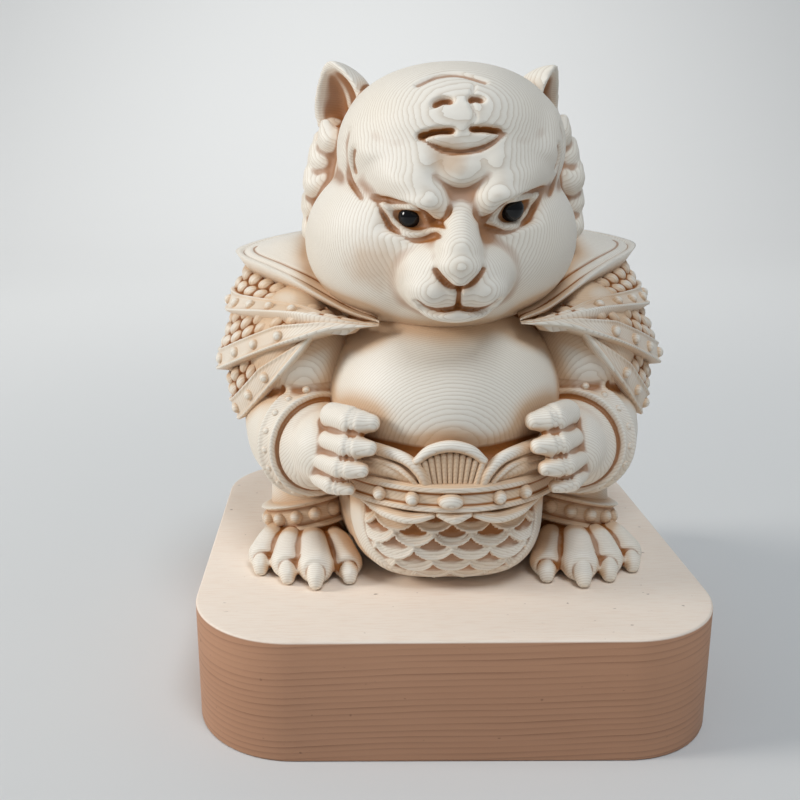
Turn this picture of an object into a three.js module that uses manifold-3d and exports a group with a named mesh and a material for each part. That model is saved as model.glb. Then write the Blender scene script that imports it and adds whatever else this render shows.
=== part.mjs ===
// A carved wood tiger figure: a squat, big-headed tiger in scale armour, carved from one block,
// with two dark glass beads set in as eyes, standing on a separate rounded square wood plinth.
// Millimetres, +Z up, +X to the viewer's right, the figure faces -Y.
// The origin is the middle of the plinth's underside.
import * as THREE from "three";
import { mergeVertices } from "three/addons/utils/BufferGeometryUtils.js";
import Module from "manifold-3d";

const wasm = await Module();
wasm.setup();

// Plinth
const PLINTH_WIDTH = 100;
const PLINTH_HEIGHT = 24.5;
const PLINTH_CORNER = 19.5;
const PLINTH_EDGE = 0.5;

// Every height below is counted from the figure's soles, which stand on the plinth.

// Head
const HEAD_SHIFT = 0.8;
const SKULL = { at: [HEAD_SHIFT, -2, 75], radii: [23, 23, 24.4] };
const FOREHEAD = { at: [HEAD_SHIFT, -6, 86], radii: [21.2, 24.4, 14.6] };
const JAW = { at: [-0.8, -8.4, 67], radii: [27, 22.6, 18.2] };
const CHIN = { at: [0, -13.4, 59.6], radii: [17.4, 16, 10.4] };
const MUZZLE = { at: [0.2, -26.6, 62], radii: [11.2, 11, 8.2] };
const EYE_RADIUS = 2.3;
const EYE_MIDDLE = 1.2;
const EYE_HALF_SPAN = 9;
const EYE_HEIGHT = 73.1;
const EYE_TILT = 0.5;
const EYE_FRONT = 27.4;
const EYE_GAP = 0.3;

// Share of the facets asked for below: less makes every rounded form coarser.
const DETAIL = 0.5;

// The rims of the collar and of the three lames below it, on one side, from beside the chin
// round the shoulder to the back.
const RIMS = [
  [[13.4, -22.6, 52.3], [30.6, -7.6, 58.2], [43.4, 7.4, 62.2], [34, 18.5, 65.4], [0, 28.8, 67]],
  [[13.5, -22.8, 52], [30, -16.4, 52.6], [42.6, -2.4, 51.1], [44.4, 12, 50.6], [22, 28, 54], [0, 30.4, 55]],
  [[13.5, -23, 51.8], [28.6, -19.2, 48.6], [42, -8, 41.8], [47, 6, 37.8], [33, 24, 43.6], [0, 31, 49.4]],
  [[13.5, -22.6, 51.8], [30.4, -18.2, 44], [41.2, -7.4, 29.8], [40.8, 9, 29], [20, 27.4, 37.4], [0, 30, 40]],
];
const SPINE = [0, 4];
const COLLAR_THICK = { front: 1.2, back: 4.6 };

// Body
const BELLY = { at: [0, -7, 35.8], radii: [24.6, 25.6, 20.4] };
const WAIST = { at: [0, -5.6, 23], radii: [25, 28.2, 8.5] };
const HIPS = { at: [0, -2, 13], radii: [22.4, 28.4, 17] };
const BACK = { at: [0, 6, 34], radii: [28, 22, 27] };
const NECK = { at: [0, 7, 54], radii: [33, 20.5, 13] };
const BELT = { at: [0, -3.6], radii: [27, 32.8], low: 18.6, high: 24, proud: 1.6 };
const APRON = { at: [0, -9.6, 13.4], radii: [20, 23.4, 14.6] };

// Limbs
const SHOULDER = { at: [28.6, -2.4, 43], radii: [12.2, 15, 14.5] };
const CUFF = { at: [25.4, -17, 26.4], ahead: [-0.42, -0.9, 0.03], from: 12.7, to: 10.7, length: 3.7 };
const LEG = { at: [28.2, -6], radius: 8.3, high: 17 };
const ANKLET = { at: [28.4, -6, 8.4], radius: 9, rib: 1, apart: 5.2, tilt: [-11, 12] };

// Every shape below is a closed surface. solid() hands it to the boolean library.
function solid(geometry) {
  const g = geometry.clone();
  g.deleteAttribute("normal");
  g.deleteAttribute("uv");
  const merged = mergeVertices(g, 1e-4);
  return new wasm.Manifold(
    new wasm.Mesh({
      numProp: 3,
      vertProperties: merged.attributes.position.array,
      triVerts: new Uint32Array(merged.index.array),
    }),
  );
}

function geometryOf(manifold) {
  const mesh = manifold.getMesh();
  const positions = new Float32Array(mesh.numVert * 3);
  for (let i = 0; i < mesh.numVert; i++)
    for (let k = 0; k < 3; k++)
      positions[3 * i + k] = mesh.vertProperties[mesh.numProp * i + k];
  const g = new THREE.BufferGeometry();
  g.setAttribute("position", new THREE.BufferAttribute(positions, 3));
  g.setIndex(new THREE.BufferAttribute(mesh.triVerts, 1));
  return g;
}

function union(solids) {
  return solids.reduce((sum, next) => sum.add(next));
}

// Moves every vertex of a geometry by a function of its place.
function reshape(geometry, move) {
  const p = geometry.attributes.position;
  const v = new THREE.Vector3();
  for (let i = 0; i < p.count; i++) {
    v.fromBufferAttribute(p, i);
    move(v);
    p.setXYZ(i, v.x, v.y, v.z);
  }
  return geometry;
}

// The sphere's poles are turned onto the Z axis, so that seams run up and down.
function ball(around, down) {
  const fewer = (count) => Math.max(5, Math.round(count * DETAIL));
  return new THREE.SphereGeometry(1, fewer(around), fewer(down)).rotateX(Math.PI / 2);
}

function ellipsoid({ at, radii, turn = [0, 0, 0] }, around = 24, down = 16, squareness = 0) {
  const g = ball(around, down);
  if (squareness > 0)
    reshape(g, (v) => {
      const p = 2 + squareness;
      const norm = (Math.abs(v.x) ** p + Math.abs(v.y) ** p + Math.abs(v.z) ** p) ** (1 / p);
      v.multiplyScalar(1 / norm);
    });
  g.scale(...radii);
  g.rotateX(turn[0]).rotateY(turn[1]).rotateZ(turn[2]);
  return g.translate(...at);
}

// A round-ended limb: a sphere drawn out along a smooth curve, with its own radius at each point.
function limb(points, radii, around = 10, along = 8) {
  const curve = new THREE.CatmullRomCurve3(points.map((p) => new THREE.Vector3(...p)));
  const last = radii.length - 1;
  const radiusAt = (t) => {
    const i = Math.min(last - 1, Math.floor(t * last));
    return THREE.MathUtils.lerp(radii[i], radii[i + 1], t * last - i);
  };
  const length = curve.getLength();
  const side = new THREE.Vector3();
  const up = new THREE.Vector3();
  return reshape(ball(around, along), (v) => {
    // The poles reach one radius past the curve's ends.
    const reach = THREE.MathUtils.clamp((1 - v.z) / 2, 0, 1);
    const start = radii[0] / length;
    const end = radii[last] / length;
    const along01 = reach * (1 + start + end) - start;
    const t = THREE.MathUtils.clamp(along01, 0, 1);
    const over = (along01 - t) * length;
    const ring = Math.hypot(v.x, v.y);
    const angle = Math.atan2(v.y, v.x);
    const r = radiusAt(t);
    const cap = Math.sqrt(Math.max(0, 1 - (over / r) ** 2));
    const tangent = curve.getTangentAt(t);
    up.set(0, 0, 1);
    if (Math.abs(tangent.z) > 0.9) up.set(0, 1, 0);
    side.crossVectors(tangent, up).normalize();
    up.crossVectors(side, tangent).normalize();
    const wide = ring < 1e-6 ? 0 : r * cap;
    const at = curve.getPointAt(t);
    v.copy(at)
      .addScaledVector(tangent, over)
      .addScaledVector(side, wide * Math.cos(angle))
      .addScaledVector(up, wide * Math.sin(angle));
  });
}

function mirrored(geometry) {
  const g = geometry.index ? geometry.toNonIndexed() : geometry.clone();
  g.scale(-1, 1, 1);
  const p = g.attributes.position;
  const a = new THREE.Vector3();
  const b = new THREE.Vector3();
  for (let i = 0; i < p.count; i += 3) {
    a.fromBufferAttribute(p, i + 1);
    b.fromBufferAttribute(p, i + 2);
    p.setXYZ(i + 1, b.x, b.y, b.z);
    p.setXYZ(i + 2, a.x, a.y, a.z);
  }
  return g;
}

// The same shape on the viewer's right and on the viewer's left.
function bothSides(geometry) {
  return [solid(geometry), solid(mirrored(geometry))];
}

function head() {
  const parts = [
    solid(ellipsoid(SKULL, 30, 20, 0.1)),
    solid(ellipsoid(FOREHEAD, 28, 14, 0.05)),
    solid(ellipsoid(JAW, 28, 16, 0.1)),
    solid(ellipsoid(CHIN, 16, 10)),
    solid(ellipsoid(MUZZLE, 16, 10)),
    // between the brows, nose, lower lip and bridge of the nose
    solid(ellipsoid({ at: [HEAD_SHIFT, -12.6, 80.6], radii: [13, 18, 8.4] }, 14, 8)),
    solid(ellipsoid({ at: [0, -35.6, 64.6], radii: [4.4, 4.1, 3.2] }, 10, 8)),
    solid(ellipsoid({ at: [0, -31.2, 56.4], radii: [6.4, 4.6, 2.6] }, 10, 8)),
    solid(
      limb(
        [
          [0.8, -25, 79],
          [0.6, -29.6, 73],
          [0.1, -34.8, 66.8],
        ],
        [2.4, 3.1, 4.2],
        10,
        8,
      ),
    ),
    ...bothSides(ellipsoid({ at: [4.2, -31.6, 60.2], radii: [5.2, 5.5, 4.2] }, 10, 8)),
  ];
  for (const side of [-1, 1]) {
    const x = (value) => HEAD_SHIFT + side * value;
    // heavy brow, drawn from the temple down to the nose
    parts.push(
      solid(
        limb(
          [
            [x(18.4), -15, 81.4],
            [x(14.2), -20.8, 79.8],
            [x(9.4), -26.9, 78.4],
            [x(5.2), -29.6, 74.9],
          ],
          [2.6, 3.7, 4.1, 3.5],
          10,
          10,
        ),
      ),
      ...ears(side),
      ...mane(side),
    );
  }
  return parts;
}

// An ear is a leaf-shaped cup that opens forwards and outwards.
function ears(side) {
  const tilt = new THREE.Matrix4().makeRotationFromEuler(
    new THREE.Euler(-0.1, side * 0.19, side, "ZYX"),
  );
  const place = (g) => g.applyMatrix4(tilt).translate(HEAD_SHIFT + side * 20.3, 1.6, 92.5);
  const leaf = (g) =>
    reshape(g, (v) => {
      v.x *= 1 - 0.38 * Math.max(0, v.z / 9) ** 1.5;
    });
  const shell = solid(place(leaf(ellipsoid({ at: [0, 0, 0], radii: [7.2, 4.4, 9] }, 14, 12))));
  const hollow = solid(place(leaf(ellipsoid({ at: [0, -3.6, 0.2], radii: [5.4, 5.2, 7.6] }, 12, 10))));
  return [shell.subtract(hollow)];
}

// Tufts of fur stand along the cheek, from below the ear to the collar.
function mane(side) {
  const tufts = [];
  const count = 6;
  for (let i = 0; i < count; i++) {
    const t = i / (count - 1);
    const lean = THREE.MathUtils.degToRad(38 - 70 * t);
    const reach = 23 + 4.8 * Math.sin(Math.PI * t) ** 0.7;
    tufts.push(
      solid(
        ellipsoid(
          {
            at: [HEAD_SHIFT + side * reach, 6, 89.6 - 28.6 * t],
            radii: [4.8, 7, 3.1],
            turn: [0, -side * lean, 0],
          },
          8,
          6,
        ),
      ),
    );
  }
  return tufts;
}

// Places along a rim, u from the front to the back.
const rims = RIMS.map((row) => new THREE.CatmullRomCurve3(row.map((point) => new THREE.Vector3(...point))));

function rimPoint(level, u, inset = 0, lowered = 0) {
  const at = rims[level].getPointAt(THREE.MathUtils.clamp(u, 0, 1));
  const inwards = new THREE.Vector3(SPINE[0] - at.x, SPINE[1] - at.y, 0).normalize();
  const fade = Math.min(1, u / 0.12);
  at.addScaledVector(inwards, inset * fade);
  at.z -= lowered * fade;
  return at;
}

// A plate that runs from the chin round to the back: its outer face lies between two edges,
// and its inner face close to the spine, so that it closes on the body.
function plate(top, low, bulge = 0) {
  const g = new THREE.BoxGeometry(1, 1, 1, 12, bulge ? 2 : 1, 1);
  return reshape(g, (v) => {
    const u = v.x + 0.5;
    const share = 0.5 - v.y;
    const inner = v.z < 0;
    const high = top(u);
    v.lerpVectors(high, low(u), share);
    const height = high.distanceTo(low(u));
    const out = new THREE.Vector3(v.x - SPINE[0], v.y - SPINE[1], 0);
    const reach = out.length();
    out.normalize();
    v.addScaledVector(out, inner ? -0.8 * reach : bulge * height * Math.sin(Math.PI * share));
    // the two halves run a little into each other at the back
    if (u > 0.999) v.x = -0.4;
  });
}

function armour() {
  const parts = [];
  for (const level of [1, 2, 3]) {
    const top = (u) => (level === 1 ? rimPoint(0, u, 2.6, 2.6) : rimPoint(level - 1, u, 1.7, -1));
    parts.push(...bothSides(plate(top, (u) => rimPoint(level, u), 0.07)));
  }
  // the knot under the chin where the rims meet
  parts.push(...bothSides(ellipsoid({ at: [12.8, -18.6, 51.6], radii: [3.6, 6.4, 2.2] }, 10, 10)));
  return parts;
}

function collar() {
  const thick = (u) => THREE.MathUtils.lerp(COLLAR_THICK.front, COLLAR_THICK.back, Math.min(1, u / 0.35));
  return bothSides(
    plate(
      (u) => rimPoint(0, u, 0, -0.5),
      (u) => rimPoint(0, u, 0, thick(u) - 0.5),
    ),
  );
}

function torso() {
  return [
    solid(ellipsoid(BELLY, 28, 18)),
    solid(ellipsoid(WAIST, 26, 8, 0.4)),
    solid(ellipsoid(HIPS, 24, 14, 0.4)),
    solid(ellipsoid(BACK, 24, 16, 0.3)),
    solid(ellipsoid(NECK, 24, 10)),
    ...belt(),
    ...apron(),
  ];
}

// A band that follows the waist as an oval ring.
function ring({ at, radii, low, high }, around = 26) {
  const g = new THREE.CylinderGeometry(1, 1, high - low, around);
  return g.rotateX(Math.PI / 2).scale(radii[0], radii[1], 1).translate(at[0], at[1], (low + high) / 2);
}

function belt() {
  const { at, radii, low, high, proud } = BELT;
  const parts = [
    solid(ring({ at, radii, low, high })),
    solid(ring({ at, radii: radii.map((r) => r - proud), low: low - 2.2, high: low + 1 })),
  ];
  // beads on the band: an oval one in the middle, round ones beside it
  const beads = [0, 15, 29];
  for (const degrees of beads)
    for (const side of degrees ? [-1, 1] : [1]) {
      const a = THREE.MathUtils.degToRad(degrees);
      const r = degrees ? 1.5 : 2.8;
      parts.push(
        solid(
          ellipsoid(
            {
              at: [
                side * (radii[0] - 0.5) * Math.sin(a),
                at[1] - (radii[1] - 0.5) * Math.cos(a),
                (low + high) / 2 - 0.1,
              ],
              radii: [r, 1.5, 1.7],
              turn: [0, 0, side * a],
            },
            8,
            6,
          ),
        ),
      );
    }
  return [...parts, ...fan(), ...bothSides(lobe())];
}

// The fan above the buckle: a rim over nine flutes that spread from one point.
function fan() {
  const rise = 8.4;
  const half = 6.6;
  const front = -33.6;
  const plate = new THREE.Shape();
  plate.moveTo(-4.2, 0);
  plate.lineTo(4.2, 0);
  plate.lineTo(half, rise - 3.2);
  plate.quadraticCurveTo(0, rise + 3.4, -half, rise - 3.2);
  plate.closePath();
  const parts = [
    solid(
      new THREE.ExtrudeGeometry(plate, { depth: 6, bevelEnabled: false, curveSegments: 6 })
        .rotateX(Math.PI / 2)
        .translate(0, front + 6, 23),
    ),
  ];
  const flutes = 9;
  for (let i = 0; i < flutes; i++) {
    const t = (2 * i) / (flutes - 1) - 1;
    parts.push(
      solid(
        limb(
          [
            [t * 3.6, front - 0.1, 23.4],
            [t * 5.2, front, 23 + rise - 2.2 - 1.6 * t * t],
          ],
          [0.45, 0.6],
          6,
          4,
        ),
      ),
    );
  }
  parts.push(
    solid(
      limb(
        [
          [-half, front + 0.2, 23 + rise - 3.4],
          [-half * 0.55, front - 0.3, 23 + rise - 0.9],
          [0, front - 0.5, 23 + rise],
          [half * 0.55, front - 0.3, 23 + rise - 0.9],
          [half, front + 0.2, 23 + rise - 3.4],
        ],
        [0.8, 0.95, 0.95, 0.95, 0.8],
        6,
        12,
      ),
    ),
  );
  return parts;
}

// The leaf-shaped panel beside the fan, with its raised rim.
function lobe() {
  return limb(
    [
      [4.8, -33.6, 23.6],
      [7.2, -33.2, 26.6],
      [10.6, -31.6, 28.6],
      [16.6, -27.6, 29.6],
    ],
    [0.9, 1.1, 1.2, 1.2],
    6,
    8,
  );
}

// The apron is a pouch of scales below the belt, inside a flat rim.
function apron() {
  return [
    solid(ellipsoid(APRON, 24, 14, 0.5)),
  ];
}

// A tapered band round the wrist, its narrow end towards the hand.
function cuff() {
  const { at, ahead, from, to, length } = CUFF;
  const turn = new THREE.Quaternion().setFromUnitVectors(
    new THREE.Vector3(0, 1, 0),
    new THREE.Vector3(...ahead).normalize(),
  );
  return new THREE.CylinderGeometry(to, from, length, 16)
    .translate(0, -length / 2, 0)
    .applyQuaternion(turn)
    .translate(...at);
}

function arms() {
  // upper arm, forearm and the back of the hand
  const parts = [
    ...bothSides(ellipsoid(SHOULDER, 18, 12)),
    ...bothSides(
      limb(
        [
          [31.4, 1, 34],
          [29.6, -6, 28],
          [27.4, -12.5, 26.6],
          [25.4, -17, 26.4],
          [24, -20.2, 26.8],
        ],
        [10.6, 11.6, 12, 11, 7.8],
        18,
        14,
      ),
    ),
    ...bothSides(cuff()),
  ];
  // Four fingers lie on the belt, one above the other.
  const fingers = [
    { from: [22.4, -25.2, 34.6], tip: [14.8, -30.4, 34.6], thick: 2.8 },
    { from: [23, -27, 30.2], tip: [15.6, -32.4, 30.4], thick: 2.5 },
    { from: [24.2, -27, 26.2], tip: [17.2, -32.8, 26.2], thick: 2.4 },
    { from: [25.2, -25.6, 22.4], tip: [19.6, -31.2, 22], thick: 2.2 },
  ];
  for (const { from, tip, thick } of fingers) {
    const knuckle = from.map((value, k) => (value + tip[k]) / 2);
    knuckle[1] -= 1.2;
    parts.push(...bothSides(limb([from, knuckle, tip], [thick, thick, thick * 0.75], 6, 7)));
  }
  return parts;
}

function legs() {
  const { at, radius, high } = LEG;
  const parts = [
    ...bothSides(
      new THREE.CylinderGeometry(radius, radius + 0.4, high + 1, 14)
        .rotateX(Math.PI / 2)
        .translate(at[0], at[1], (high - 1) / 2),
    ),
    // the sole, under the roots of the toes
    ...bothSides(ellipsoid({ at: [28.8, -10, 3.4], radii: [9.6, 10.5, 4.6] }, 18, 8)),
  ];
  // anklet: two ribs
  const [pitch, roll] = ANKLET.tilt.map(THREE.MathUtils.degToRad);
  for (const z of [-ANKLET.apart / 2, ANKLET.apart / 2])
    parts.push(
      ...bothSides(
        new THREE.TorusGeometry(ANKLET.radius, ANKLET.rib, 4, 14)
          .translate(0, 0, z)
          .rotateX(pitch)
          .rotateY(roll)
          .translate(...ANKLET.at),
      ),
    );
  const toes = [
    { start: [33.8, -9], tip: [37.6, -18.2], claw: [38, -22.2], thick: 3.1 },
    { start: [31.2, -12], tip: [32.4, -22.3], claw: [32, -26.6], thick: 3.3 },
    { start: [27.8, -13], tip: [26.5, -24.8], claw: [26.4, -29.2], thick: 3.6 },
    { start: [24, -12], tip: [20.2, -22.6], claw: [19.7, -26.6], thick: 3.1 },
  ];
  for (const { start, tip, claw, thick } of toes) {
    const high = thick * 0.92;
    const middle = [(start[0] + tip[0]) / 2, (start[1] + tip[1]) / 2, high + 1.6];
    parts.push(
      ...bothSides(limb([[...start, 4.4], middle, [...tip, high]], [thick * 0.7, thick * 0.9, thick], 5, 7)),
      ...bothSides(limb([[...tip, 2], [...claw, 1]], [1.9, 1], 5, 5)),
    );
  }
  return parts;
}

// A short tail lies curled against the back.
function tail() {
  return [
    solid(
      limb(
        [
          [0, 24, 5],
          [9, 29, 8],
          [12, 29, 16],
          [6, 28.5, 23],
          [-2, 28, 25],
        ],
        [3.6, 3.4, 3.2, 3, 2.6],
        8,
        14,
      ),
    ),
  ];
}

function eyePlace(side) {
  return [EYE_MIDDLE + side * EYE_HALF_SPAN, -EYE_FRONT, EYE_HEIGHT + side * EYE_TILT];
}

function figure() {
  let body = union([
    ...torso(),
    ...arms(),
    ...legs(),
    ...armour(),
    ...collar(),
    ...head(),
    ...tail(),
  ]);
  for (const side of [-1, 1]) {
    const socket = EYE_RADIUS + EYE_GAP;
    body = body.subtract(solid(ellipsoid({ at: eyePlace(side), radii: [socket, socket, socket] }, 16, 10)));
  }
  // Everything below the soles is cut off flat.
  const floor = new THREE.BoxGeometry(300, 300, 100).translate(0, 0, -50);
  // The forms enclose a few slivers where they meet: only the outermost skin is kept.
  const skins = body.subtract(solid(floor)).decompose();
  return skins.reduce((largest, next) => (next.volume() > largest.volume() ? next : largest));
}

function plinth() {
  const half = PLINTH_WIDTH / 2 - PLINTH_EDGE;
  const corner = PLINTH_CORNER - PLINTH_EDGE;
  const outline = new THREE.Shape();
  outline.moveTo(half - corner, -half);
  outline.absarc(half - corner, -half + corner, corner, -Math.PI / 2, 0);
  outline.absarc(half - corner, half - corner, corner, 0, Math.PI / 2);
  outline.absarc(-half + corner, half - corner, corner, Math.PI / 2, Math.PI);
  outline.absarc(-half + corner, -half + corner, corner, Math.PI, 1.5 * Math.PI);
  return new THREE.ExtrudeGeometry(outline, {
    depth: PLINTH_HEIGHT - 2 * PLINTH_EDGE,
    bevelEnabled: true,
    bevelThickness: PLINTH_EDGE,
    bevelSize: PLINTH_EDGE,
    bevelSegments: 1,
    curveSegments: 7,
  }).translate(0, 0, PLINTH_EDGE);
}

function mesh(name, geometry, material, z = 0) {
  const made = new THREE.Mesh(geometry, material);
  made.name = name;
  made.position.z = z;
  return made;
}

const boxwood = new THREE.MeshStandardMaterial({ color: 0xe6d3b3, roughness: 0.6, metalness: 0 });
const paleWood = new THREE.MeshStandardMaterial({ color: 0xd9b58c, roughness: 0.65, metalness: 0 });
const blackGlass = new THREE.MeshStandardMaterial({ color: 0x0b0b10, roughness: 0.08, metalness: 0 });

const model = new THREE.Group();
model.add(mesh("plinth", plinth(), paleWood));
model.add(mesh("tiger_figure", geometryOf(figure()), boxwood, PLINTH_HEIGHT));
for (const [name, side] of [
  ["eye_left", -1],
  ["eye_right", 1],
])
  model.add(
    mesh(
      name,
      ellipsoid({ at: eyePlace(side), radii: [EYE_RADIUS, EYE_RADIUS, EYE_RADIUS] }, 20, 14),
      blackGlass,
      PLINTH_HEIGHT,
    ),
  );

export default model;
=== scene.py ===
import math

import bmesh
import bpy
import numpy as np
from mathutils import Euler, Matrix, Vector


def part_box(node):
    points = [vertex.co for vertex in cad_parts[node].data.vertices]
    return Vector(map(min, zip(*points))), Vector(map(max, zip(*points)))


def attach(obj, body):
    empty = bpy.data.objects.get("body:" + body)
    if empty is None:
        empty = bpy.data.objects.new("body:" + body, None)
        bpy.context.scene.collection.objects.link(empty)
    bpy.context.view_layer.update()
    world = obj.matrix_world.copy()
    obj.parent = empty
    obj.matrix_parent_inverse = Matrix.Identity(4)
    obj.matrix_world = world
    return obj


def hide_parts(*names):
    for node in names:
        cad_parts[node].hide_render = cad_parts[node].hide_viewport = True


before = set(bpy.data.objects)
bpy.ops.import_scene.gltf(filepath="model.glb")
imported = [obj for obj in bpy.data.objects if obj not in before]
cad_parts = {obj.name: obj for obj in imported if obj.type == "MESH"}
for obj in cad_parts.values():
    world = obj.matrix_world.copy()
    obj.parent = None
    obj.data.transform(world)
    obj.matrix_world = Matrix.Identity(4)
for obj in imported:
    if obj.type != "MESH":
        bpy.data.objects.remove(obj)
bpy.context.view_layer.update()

bl_info = {
    "name": "Carved Wood Tiger",
    "version": (1, 0, 0),
    "blender": (4, 5, 0),
    "location": "3D View > Sidebar > Tiger",
    "description": "Builds the carved figure, its eyes and its plinth over the packed solids",
    "category": "Object",
}

# Sizes in this file are millimetres, and finished meshes are scaled to metres.
MM = 0.001
PLINTH_LOW, PLINTH_HIGH = (Vector(corner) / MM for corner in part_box("plinth"))
SOLES = PLINTH_HIGH.z


# Settings


def rgb(red, green, blue):
    """A colour given as it looks on a screen, 0 to 255, in the shader's linear values."""
    def linear(value):
        value /= 255
        return value / 12.92 if value <= 0.04045 else ((value + 0.055) / 1.055) ** 2.4

    return (linear(red), linear(green), linear(blue), 1)


def length(name, description, millimetres):
    return bpy.props.FloatProperty(
        name=name, description=description, default=millimetres * MM, min=0, precision=5, unit="LENGTH"
    )


def tint(name, description, *values):
    return bpy.props.FloatVectorProperty(
        name=name, description=description, default=rgb(*values), size=4, min=0, max=1, subtype="COLOR"
    )


class TigerSizes(bpy.types.PropertyGroup):
    """Sizes of the carving and of its plinth."""

    ring: length("Growth ring", "Distance from one growth ring of the carved wood to the next", 0.42)
    strip: length("Armour strip", "Width of the studded strip along each shoulder plate", 5.2)
    strip_stud: length("Armour stud", "Radius of the studs on the strips", 1.15)
    bump: length("Armour bump", "Width of the round bumps above the strips", 3.8)
    belt_stud: length("Belt stud", "Radius of the studs on the belt", 1.4)
    apron_scale: length("Apron scale", "Width of the scales on the apron", 6.6)
    cuff_stud: length("Cuff stud", "Radius of the studs on the cuffs", 0.85)
    anklet_bead: length("Anklet bead", "Radius of the beads round the ankles", 1.45)
    plinth_corner: length("Plinth corner", "Radius of the plinth's corners, seen from above", 19.5)
    plinth_edge: length("Plinth edge", "Width of the eased edge round the plinth", 0.5)


class TigerColours(bpy.types.PropertyGroup):
    """Colours of the wood, the eyes and the floor."""

    pale: tint("Pale wood", "The carved wood where it is lightest", 248, 243, 234)
    warm: tint("Warm wood", "The carved wood where it is a little darker", 242, 232, 214)
    line: tint("Ring line", "The fine line at each growth ring", 198, 178, 154)
    # a stained patch on the brow, and painted shade on the lower cheek
    stain_and_shade: tint("Stain", "The darker patches on the brow and the cheek", 204, 164, 122)
    # painted shade, where other parts stand close to the wood and where it faces down
    shade: tint("Shade", "The carved wood where other parts stand close to it", 208, 154, 86)
    # painted shade at the bottom of every groove
    groove_shade: tint("Recess", "The bottom of every groove", 156, 96, 40)
    # the sides are darker than the top, partly for their own wood and partly as painted shade
    side: tint("Plinth side", "The plinth's sides", 194, 146, 114)
    side_deep: tint("Plinth side, deep", "The plinth's sides where they are darker", 179, 131, 99)
    grain: tint("Plinth grain", "The level lines along the plinth's sides", 126, 84, 58)
    top: tint("Plinth top", "The top of the plinth", 247, 234, 219)
    top_deep: tint("Plinth top, deep", "The top of the plinth where it is darker", 240, 222, 204)
    streak: tint("Plinth streak", "The fine streaks on the top of the plinth", 226, 194, 166)
    pore: tint("Plinth pore", "The small dark pores of the plinth", 120, 84, 62)
    bead: tint("Eye bead", "The black of the eyes", 10, 10, 12)
    floor: tint("Floor", "The floor and the backdrop", 215, 215, 213)


def measure(name):
    """A size from the panel, in millimetres."""
    return getattr(bpy.context.scene.tiger_sizes, name) / MM


def hue(name):
    """A colour from the panel."""
    return tuple(getattr(bpy.context.scene.tiger_colours, name))


# Forms


def ramp(value):
    """The value, held between 0 and 1."""
    return np.clip(value, 0, 1)


def ridge(value, at, width):
    """1 where the value is at, falling to nothing about two widths away."""
    return np.exp(-(((value - at) / width) ** 2))


def unit(rows):
    """Every row made one long."""
    return rows / np.maximum(np.linalg.norm(rows, axis=1), 1e-9)[:, None]


def read(items, name, width=1):
    """A property of every point, edge or face as an array."""
    values = np.empty(len(items) * width)
    items.foreach_get(name, values)
    return values.reshape(-1, width)


def mark_points(mesh, name, values):
    """Keeps a number for every point, for the materials to read."""
    layer = mesh.attributes.new(name, "FLOAT", "POINT")
    layer.data.foreach_set("value", values.astype(np.float32))


def smooth_path(points, steps=64):
    """A smooth curve through the points, in even steps, and its length."""
    p = np.array(points, float)
    p = np.vstack([2 * p[0] - p[1], p, 2 * p[-1] - p[-2]])
    rows = []
    for i in range(1, len(p) - 2):
        t = np.linspace(0, 1, 24, endpoint=False)[:, None]
        a, b, c, d = p[i - 1 : i + 3]
        square = (2 * a - 5 * b + 4 * c - d) * t**2
        cube = (3 * b - a - 3 * c + d) * t**3
        rows.append(0.5 * (2 * b + (c - a) * t + square + cube))
    rows.append(p[-2][None, :])
    curve = np.vstack(rows)
    run = np.concatenate([[0], np.cumsum(np.linalg.norm(np.diff(curve, axis=0), axis=1))])
    even = np.linspace(0, run[-1], steps + 1)
    return np.column_stack([np.interp(even, run, curve[:, k]) for k in range(3)]), run[-1]


def shingles(across, down, width, pitch, bulge, thick, rim):
    """Height of rows of round-ended scales, each row lying over the next one down."""
    height = np.zeros_like(across)
    waiting = np.ones(len(across), bool)
    base = np.floor(down / pitch)
    for step in (-1, 0, 1, 2):
        row = base + step
        offset = np.where(row % 2 == 0, 0.0, 0.5 * width)
        q = 2 * ((across - offset + width / 2) % width - width / 2) / width
        arc = np.sqrt(np.clip(1 - 0.86 * q * q, 0.1, 1))
        edge = (row + 1) * pitch - bulge * (1 - arc)
        lean = bulge * q / arc * 2 / width
        inside = (edge - down) / np.sqrt(1 + lean * lean)
        mine = waiting & (inside >= 0)
        slope = thick * (1 - ramp(inside / (2.3 * pitch)))
        edges = rim * ridge(inside, 0.42, 0.32) + 0.45 * rim * ridge(inside, 1.35, 0.3)
        height[mine] = (slope + edges)[mine]
        waiting &= ~mine
    return height


def pebbles(across, down, width, pitch):
    """Height, 0 to 1, of staggered rows of round bumps that touch one another."""
    height = np.zeros_like(across)
    base = np.floor(down / pitch)
    for step in (-1, 0, 1):
        row = base + step
        offset = np.where(row % 2 == 0, 0.0, 0.5 * width)
        x = ((across - offset + width / 2) % width - width / 2) / (0.53 * width)
        y = (down - (row + 0.5) * pitch) / (0.62 * pitch)
        height = np.maximum(height, np.sqrt(ramp(1 - x * x - y * y)))
    return height


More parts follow.
